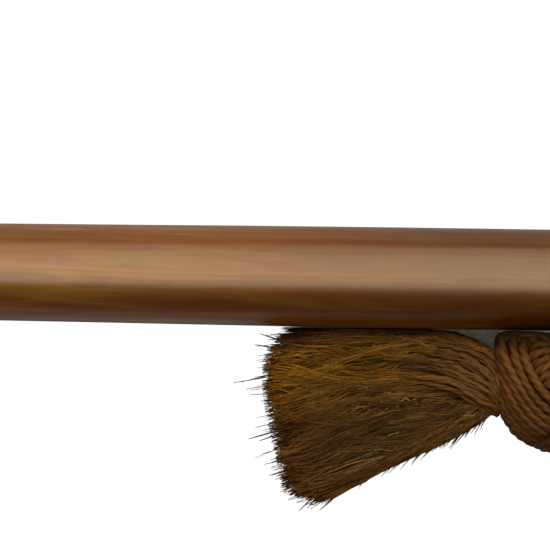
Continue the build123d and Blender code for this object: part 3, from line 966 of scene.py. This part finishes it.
# Head: hanks of bristles, serving and stitches. A station is x, half width and half thickness.
headStations = np.array([
    (-196.0, 13.0, 13.0), (-212.0, 13.6, 13.4), (-240.0, 16.5, 13.8), (-266.0, 22.0, 14.0),
    (-280.0, 29.0, 14.3), (-300.0, 41.5, 14.8), (-322.0, 53.0, 15.0), (-345.0, 62.0, 15.1),
    (-370.0, 69.5, 15.2), (-400.0, 76.0, 15.3), (-428.0, 80.5, 16.1), (-460.0, 84.5, 16.5),
    (-500.0, 89.0, 15.8), (-540.0, 93.0, 14.3), (-580.0, 96.0, 12.0),
])[::-1]


stitchRows = (-305.0, -335.0, -365.0, -395.0)
wireX = -271.0
tipX = -580.0


def headSize(x):
    stations, widths, thicknesses = headStations.T
    return np.interp(x, stations, widths), np.interp(x, stations, thicknesses)


def sectionPoint(x, share, grow=0.0):
    # a point round the head's slot-shaped section, share 0 to 1 of the way, and its outward direction
    w, h = headSize(x)
    w, h = w + grow, h + grow
    flat, arc = 2 * (w - h), math.pi * h
    d = (share % 1.0) * (2 * flat + 2 * arc)
    y, z, ny, nz = (np.zeros_like(d) for _ in range(4))
    top = d < flat
    y, z, nz = np.where(top, (w - h) - d, y), np.where(top, h, z), np.where(top, 1.0, nz)
    a = (d - flat) / h
    left = (d >= flat) & (d < flat + arc)
    y, z = np.where(left, -(w - h) - h * np.sin(a), y), np.where(left, h * np.cos(a), z)
    ny, nz = np.where(left, -np.sin(a), ny), np.where(left, np.cos(a), nz)
    low = (d >= flat + arc) & (d < 2 * flat + arc)
    y, z, nz = np.where(low, -(w - h) + d - flat - arc, y), np.where(low, -h, z), np.where(low, -1.0, nz)
    a = (d - 2 * flat - arc) / h
    right = d >= 2 * flat + arc
    y, z = np.where(right, (w - h) + h * np.sin(a), y), np.where(right, -h * np.cos(a), z)
    ny, nz = np.where(right, np.sin(a), ny), np.where(right, -np.cos(a), nz)
    x = np.broadcast_to(x, y.shape)
    return np.stack([x, y, z + axisZ / mm], -1), np.stack([np.zeros_like(y), ny, nz], -1)


def squeeze(x):
    # how far the stitches and the wire draw the bristles in, in millimetres: a bump at each
    drawn = np.zeros_like(x)
    for row in stitchRows:
        drawn += 0.9 * np.exp(-((x - row) / 4.0) ** 2)
    drawn += 0.8 * np.exp(-((x - wireX) / 4.0) ** 2)
    return drawn


def headHank(name, node, settings):
    # bristles from the neck to the tips: across u and through v keep their share of the section
    rng = np.random.default_rng(settings["seed"])
    locks, each, length = settings["locks"], settings["each"], 12
    count = locks * each
    own = np.repeat(np.arange(locks), each)
    u = rng.uniform(*settings["u"], locks)[own] + rng.normal(0, 0.022, count)
    v = rng.uniform(*settings["v"], locks)[own] + rng.normal(0, 0.05, count)
    u, v = np.clip(u, *settings["u"])[:, None], np.clip(v, *settings["v"])[:, None]
    t = np.linspace(0, 1, length)[None, :]
    tip = tipX + np.abs(rng.normal(0, 4.0, (count, 1))) + rng.uniform(0, 1, (locks, 1))[own] * 4
    x = settings["from"] + (tip - settings["from"]) * t
    w, h = headSize(x)
    drift = rng.normal(0, 0.02, (count, 1)) * t + rng.normal(0, 0.018, (locks, 1))[own] * t
    across = np.clip(u + drift, -0.99, 0.99)
    y = across * (w - 0.6)
    edge = np.clip((np.abs(y) - (w - h)) / h, 0, 1)
    room = h * np.sqrt(np.clip(1 - edge ** 2, 0.02, 1)) - 0.5
    z = v * room
    pull = squeeze(x) * np.abs(v)
    z = z - np.sign(v) * pull
    path = np.stack([x, y, z + axisZ / mm], axis=-1)
    phase = rng.uniform(0, 2 * math.pi, (count, 2))
    loose = smoothStep((t - 0.2) * 2)
    path[..., 1] += rng.uniform(0.2, 1.0, (count, 1)) * loose * np.sin(2 * math.pi * 1.7 * t + phase[:, :1])
    path[..., 2] += 0.35 * loose * np.sin(2 * math.pi * 2.1 * t + phase[:, 1:])
    flick = rng.normal(0, 1.3, (count, 1))
    path[..., 1] = np.clip(path[..., 1] + flick * t ** 6, -97.0, 97.0)
    path[..., 2] = np.maximum(path[..., 2], 0.45)
    thick = rng.uniform(0.30, 0.48, (count, 1)) * np.interp(t, [0, 0.9, 1], [1, 0.85, 0.4])
    tone = np.clip(rng.normal(0, 0.28, count) + rng.normal(0, 0.15, locks)[own], -0.8, 0.9)[:, None, None]
    base = np.array(settings["tint"]) * (1 + 0.55 * tone)
    tipFade = np.interp(t, [0, 0.6, 1], [0.85, 1.0, 1.25])[..., None]
    tint = np.clip(base * tipFade, 0.008, 1)
    obj = makeTubes(name, path * mm, thick * mm, 3, (0, 0, 1), tint)
    place(obj, "broom", settings["slot"], headLook, node)


headHanks = [
    ("head_bristles_upper", "face_hank_upper", {
        "seed": 31, "locks": 90, "each": 32, "u": (-0.985, 0.985), "v": (0.62, 1.0), "from": -206.0,
        "tint": (0.22, 0.115, 0.035), "slot": "head_coir"}),
    ("head_bristles_lower", "face_hank_lower", {
        "seed": 32, "locks": 90, "each": 32, "u": (-0.985, 0.985), "v": (-1.0, -0.62), "from": -206.0,
        "tint": (0.20, 0.105, 0.033), "slot": "head_coir"}),
    ("head_bristles_left", "side_hank_left", {
        "seed": 33, "locks": 60, "each": 24, "u": (0.45, 0.99), "v": (-0.6, 0.6), "from": -222.0,
        "tint": (0.20, 0.105, 0.033), "slot": "head_coir"}),
    ("head_bristles_right", "side_hank_right", {
        "seed": 34, "locks": 60, "each": 24, "u": (-0.99, -0.45), "v": (-0.6, 0.6), "from": -222.0,
        "tint": (0.20, 0.105, 0.033), "slot": "head_coir"}),
    ("head_bristles_centre", "centre_hank", {
        "seed": 35, "locks": 40, "each": 24, "u": (-0.45, 0.45), "v": (-0.6, 0.6), "from": -380.0,
        "tint": (0.16, 0.085, 0.028), "slot": "core_coir"}),
]
for name, node, settings in headHanks:
    headHank(name, node, settings)


def buildServing():
    # a two-ply cord wound round the neck: one turn of the section for each step in x
    turns, samples = 28, 28 * 96
    u = np.linspace(0, turns, samples)
    x = -197.3 - 65.4 * u / turns
    line, out = sectionPoint(x, u, 1.15)
    pair = strandsRound(line, out, 2, 0.58, 4.6)
    radii = np.full(pair.shape[:2], 0.66)
    tint = np.array((0.25, 0.145, 0.065)) * (1 + 0.1 * np.sin(u * 1.7))[None, :, None] * np.ones((2, 1, 1))
    obj = makeTubes("neck_serving_cord", pair * mm, radii * mm, 6, np.array([out, out]), tint)
    place(obj, "broom", "serving_cord", cordLook, "neck_serving")


def buildStitchRow(number, row):
    # a cord round the head at a row, and a loop cord whipped over it: line + r (cos a x + sin a out)
    samples = 1000
    share = np.arange(samples) / samples
    line, out = sectionPoint(np.full(samples, row), share, 0.25)
    w, h = headSize(np.array([row]))
    around = float(4 * (w[0] - h[0]) + 2 * math.pi * h[0])
    pair = strandsRound(line, out, 2, 0.55, 4.2, closed=True)
    strands, ups = list(pair), [out, out]
    turns = int(around / 7.0)
    a = 2 * math.pi * turns * share
    sideways = np.stack([1.55 * np.cos(a), np.zeros(samples), np.zeros(samples)], -1)
    whip = line + sideways + out * (1.05 * np.sin(a))[:, None]
    strands.append(whip)
    ups.append(unit(whip - line + 1e-6))
    radii = np.array([np.full(samples, 0.62), np.full(samples, 0.62), np.full(samples, 0.45)])
    tint = np.array((0.30, 0.185, 0.085)) * np.ones((3, samples, 1))
    strands, ups = np.array(strands), np.array(ups)
    obj = makeTubes(f"stitch_cord_{number}", strands * mm, radii * mm, 6, ups, tint, closed=True)
    place(obj, "broom", "stitch_cord", cordLook, f"stitch_row_{number}")


buildServing()
for number, row in enumerate(stitchRows, 1):
    buildStitchRow(number, row)
print("head made")


# Stage, lights and camera.

def buildStage():
    size = 30.0
    corners = np.array([(-1, -1, 0), (1, -1, 0), (1, 1, 0), (-1, 1, 0)], float) * (size, size, 1)
    ground = makeMesh("ground", corners + (0, 0, -0.0012), [(0, 1, 2, 3)], smooth=False)
    shown = makeMesh("ground_glow", corners + (0, 0, -0.0006), [(0, 1, 2, 3)], smooth=False)
    material, _, shader = newMaterial("groundPaper")
    shader.inputs["Base Color"].default_value = (0.55, 0.55, 0.56, 1)
    shader.inputs["Roughness"].default_value = 0.9
    ground.data.materials.append(material)
    glow = bpy.data.materials.new("groundGlow")
    glow.use_nodes = True
    glow.node_tree.nodes.clear()
    # the floor the camera sees glows evenly white, and ambient occlusion darkens it near the pieces as a
    # painted contact shadow
    contactShadowOcclusion = addNode(glow.node_tree, "ShaderNodeAmbientOcclusion", samples=48, Distance=0.022)
    bright = ramp(glow.node_tree, contactShadowOcclusion.outputs["AO"], [
        (0.04, (0.012, 0.010, 0.006)), (0.165, (0.072, 0.066, 0.046)), (0.215, (1, 1, 1))])
    emit = addNode(glow.node_tree, "ShaderNodeEmission", Strength=1.05)
    glow.node_tree.links.new(bright, emit.inputs["Color"])
    out = addNode(glow.node_tree, "ShaderNodeOutputMaterial")
    glow.node_tree.links.new(emit.outputs[0], out.inputs["Surface"])
    shown.data.materials.append(glow)
    shown.visible_diffuse = shown.visible_glossy = shown.visible_shadow = False
    shown.visible_transmission = shown.visible_volume_scatter = False


view = {"centre": (421.2, 0.29), "roll": math.radians(0.854), "lens": 450.0, "sensor": 36.0, "field": 157.0}
sheens = (("sheen_top", -24, 24, 2.75), ("sheen_side", 24, 50, 2.3), ("sheen_low", 50, 74, 1.6))


def addPanel(name, bearing, distance, size, radiance, kind, shift=0.0):
    # a soft panel at an angle from straight up, towards +Y, aimed at the view's middle
    a = math.radians(bearing)
    light = bpy.data.lights.new(name, "AREA")
    light.shape = "RECTANGLE"
    light.size, light.size_y = size
    light.energy = radiance * size[0] * size[1] * math.pi
    light.color = (1.0, 1.02, 0.86) if kind == "glossy" else (1.0, 0.97, 0.90)
    lamp = bpy.data.objects.new(name, light)
    lamp.location = (view["centre"][0] * mm + shift, distance * math.sin(a), distance * math.cos(a))
    lamp.rotation_euler = (-a, 0, 0)
    lamp.visible_camera = False
    lamp.visible_glossy = kind == "glossy"
    lamp.visible_diffuse = kind == "diffuse"
    bpy.context.scene.collection.objects.link(lamp)
    return lamp


def buildLights():
    for name, start, stop, radiance in sheens:
        half = math.radians(stop - start) / 2
        addPanel(name, (start + stop) / 2, 1.6, (2.6, 2 * 1.6 * math.tan(half)), radiance, "glossy")
    addPanel("key", 28.0, 1.4, (1.6, 0.7), 3.05, "diffuse")
    addPanel("rim", 78.0, 1.5, (1.6, 0.4), 2.2, "diffuse")
    addPanel("fill", -62.0, 1.4, (1.2, 0.6), 0.7, "diffuse", -0.7)
    head = addPanel("head_light", 0.0, 0.75, (0.7, 0.6), 3.9, "diffuse", -0.88)
    head.rotation_euler = (0, 0, 0)
    head.data.spread = math.radians(72)
    head.visible_glossy = True
    world = bpy.data.worlds.new("studio")
    bpy.context.scene.world = world
    world.use_nodes = True
    background = world.node_tree.nodes["Background"]
    background.inputs["Color"].default_value = (1, 0.9, 0.74, 1)
    background.inputs["Strength"].default_value = 0.05


def buildCamera():
    cam = bpy.data.cameras.new("top_camera")
    cam.lens, cam.sensor_width = view["lens"], view["sensor"]
    distance = view["field"] * view["lens"] / view["sensor"]  # from the shaft's axis
    cam.clip_start, cam.clip_end = 0.1, 100.0
    obj = bpy.data.objects.new("top_camera", cam)
    obj.location = (view["centre"][0] * mm, view["centre"][1] * mm, axisZ + distance * mm)
    obj.rotation_euler = (0, 0, view["roll"])
    bpy.context.scene.collection.objects.link(obj)
    bpy.context.scene.camera = obj


buildStage()
buildLights()
buildCamera()
bpy.context.scene.view_settings.view_transform = "Standard"
print("stage made")
